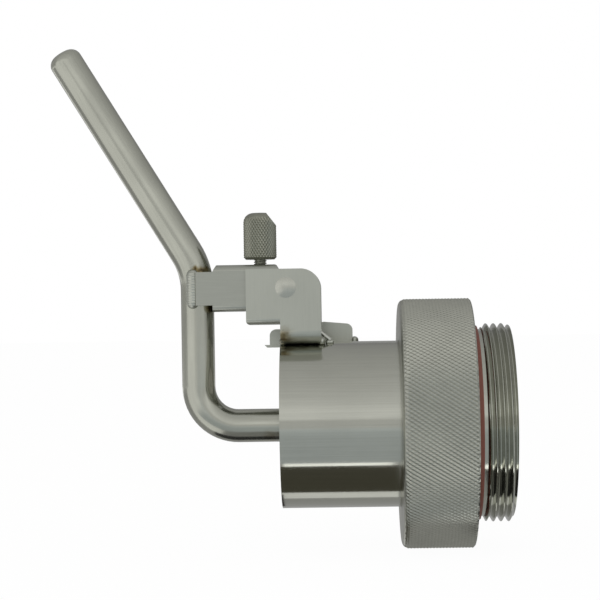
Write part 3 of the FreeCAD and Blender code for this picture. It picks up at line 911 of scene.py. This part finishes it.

# %% [markdown]
# ## The return spring
# A torsion spring of 1.2 mm wire sits round the pivot: one leg presses up under the
# lever arm's top, the other runs down to the spout. When the lever opens, the coil
# winds up. Here the wire is one fixed mesh on no body, so it keeps its built shape when
# the lever moves.

# %% Return spring
PIVOT = Vector((-58.0, 0, 41.5))
WIRE_R = 0.6
COIL_R = 4.3
COIL_PITCH = 1.25
COIL_TURNS = 5
LEVER_LEG_AT = 205.0
TUBE_LEG_SLOPE = 38.5
ARM_CEILING = 46.5
UNDER_ARM = ARM_CEILING - WIRE_R - 0.05
TUBE_R = 25.0
ON_TUBE = TUBE_R + WIRE_R

bright_wire = steel("bright spring wire", "#B9BAB2", 0.2, (6, 6, 6),
                    line_strength=0.02, line_depth=0.002, cloud=0.03)
last_angle = 270 - TUBE_LEG_SLOPE + 360 * COIL_TURNS
half_width = COIL_PITCH * (last_angle - LEVER_LEG_AT) / 360 / 2


def on_coil(angle):
    """The point of the coil's centre line at an angle, and the way that the wire runs."""
    a = math.radians(angle)
    y = half_width - COIL_PITCH * (angle - LEVER_LEG_AT) / 360
    point = PIVOT + Vector((COIL_R * math.cos(a), y, COIL_R * math.sin(a)))
    run = Vector((-COIL_R * math.sin(a), -COIL_PITCH / (2 * math.pi), COIL_R * math.cos(a)))
    return point, run.normalized()


start, run_in = on_coil(LEVER_LEG_AT)
end, run_out = on_coil(last_angle)
arm_end = start - run_in * ((UNDER_ARM - start.z) / -run_in.z)
tube_end = end + run_out * ((ON_TUBE - end.z) / run_out.z)
line = [arm_end.lerp(start, k / 6) for k in range(6)]
turns = 36 * COIL_TURNS
line += [on_coil(LEVER_LEG_AT + (last_angle - LEVER_LEG_AT) * k / turns)[0]
         for k in range(turns + 1)]
line += [end.lerp(tube_end, k / 10) for k in range(1, 11)]
spring = sweep("wire_return_spring", line, [WIRE_R] * len(line), 16, bright_wire, None,
               "return_spring")
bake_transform(spring)
print("spring wire,", round(half_width * 2, 2), "mm wide coil")

# %% [markdown]
# ## Weld beads
# TIG welds on this tap are small: a melted ridge with crescent ripples about 0.8 mm apart,
# silver grey, and brown where it got hottest. Each bead is a sweep whose radius swells at
# every ripple and wanders a little. The wandering is random with a fixed seed, so that
# every run lays the same beads.

# %% Bead tool
random.seed(7)
RIPPLE = 0.8

weld_metal = steel("stainless weld metal", "#B4B6AC", 0.36, (0.8, 0.8, 0.8),
                   line_strength=0.05, line_depth=0.02, cloud=0.06)
heat_tint_and_painted_shade(weld_metal, [(-59.2, -8, 25.3, 2.2, 1, 0.8)])


def bead(name, start, end, radius, body, replaced):
    """A rippled weld bead with round ends, in mm."""
    start = Vector(start)
    end = Vector(end)
    run = (end - start).normalized()
    length = (end - start).length + 2 * radius
    count = max(24, round(length / RIPPLE * 8))
    line = []
    radii = []
    wander = 0.0
    for i in range(count + 1):
        along = length * i / count - radius
        line.append(start + run * along)
        over = max(0.0, -along, along - (length - 2 * radius))
        round_end = math.sqrt(max(0.0, radius ** 2 - over ** 2))
        ripple = 1 - 0.02 * (1 - math.cos(2 * math.pi * along / RIPPLE))
        wander = 0.9 * wander + random.uniform(-0.01, 0.01)
        radii.append(max(0.02, round_end * (ripple + wander)))
    return sweep(name, line, radii, 20, weld_metal, body, replaced)


print("bead tool ready, ripples", RIPPLE, "mm apart")

# %% [markdown]
# ## Where the welds are
# Two beads hold the bar in the arm and ride with the lever. The others stay on the tap's
# body: two at the ends of the clevis' foot, two along the shoulder plate's foot and
# edge, and one spot on the spring's leg. Each lies on the seam and is sunk into
# both pieces, as molten metal is.

# %% Weld beads
ARM_BEAD_R = 1.9
ARM_BEAD_X = -86.0
ARM_BEAD_SIDE = 5.1
ARM_FLOOR = 36.5
for name, across in (("arm_weld_near", -ARM_BEAD_SIDE), ("arm_weld_far", ARM_BEAD_SIDE)):
    bead(name, (ARM_BEAD_X, across, ARM_FLOOR + ARM_BEAD_R / 2),
         (ARM_BEAD_X, across, ARM_CEILING - ARM_BEAD_R / 2), ARM_BEAD_R, "lever", "arm_welds")

FOOT_BEAD_R = 1.1
FOOT_HALF_WIDTH = 6
FOOT_LEFT = -59.8
FOOT_RIGHT = -47.6
foot_level = TUBE_R + FOOT_BEAD_R / 4
for name, x in (("clevis_weld_left", FOOT_LEFT + FOOT_BEAD_R / 2),
                ("clevis_weld_right", FOOT_RIGHT)):
    bead(name, (x, -FOOT_HALF_WIDTH, foot_level), (x, FOOT_HALF_WIDTH, foot_level),
         FOOT_BEAD_R, "tap_body", "clevis_welds")

PLATE_Y = 11.0
PLATE_LEFT = -58.0
PLATE_RIGHT = -37.6
EDGE_BEAD_Y = 10.25
plate_foot = math.sqrt(TUBE_R ** 2 - PLATE_Y ** 2)
bead("plate_weld_foot", (PLATE_LEFT, PLATE_Y, plate_foot), (PLATE_RIGHT, PLATE_Y, plate_foot),
     1.0, "tap_body", "plate_weld")
bead("plate_weld_edge", (PLATE_RIGHT, EDGE_BEAD_Y, plate_foot),
     (PLATE_RIGHT, EDGE_BEAD_Y, TUBE_R + 0.1), 1.2, "tap_body", "plate_weld")
bead("spring_tack_bead", (tube_end.x - 0.8, tube_end.y, TUBE_R),
     (tube_end.x + 0.3, tube_end.y, TUBE_R), 0.7, "tap_body", "spring_tack_weld")
print("7 beads laid")
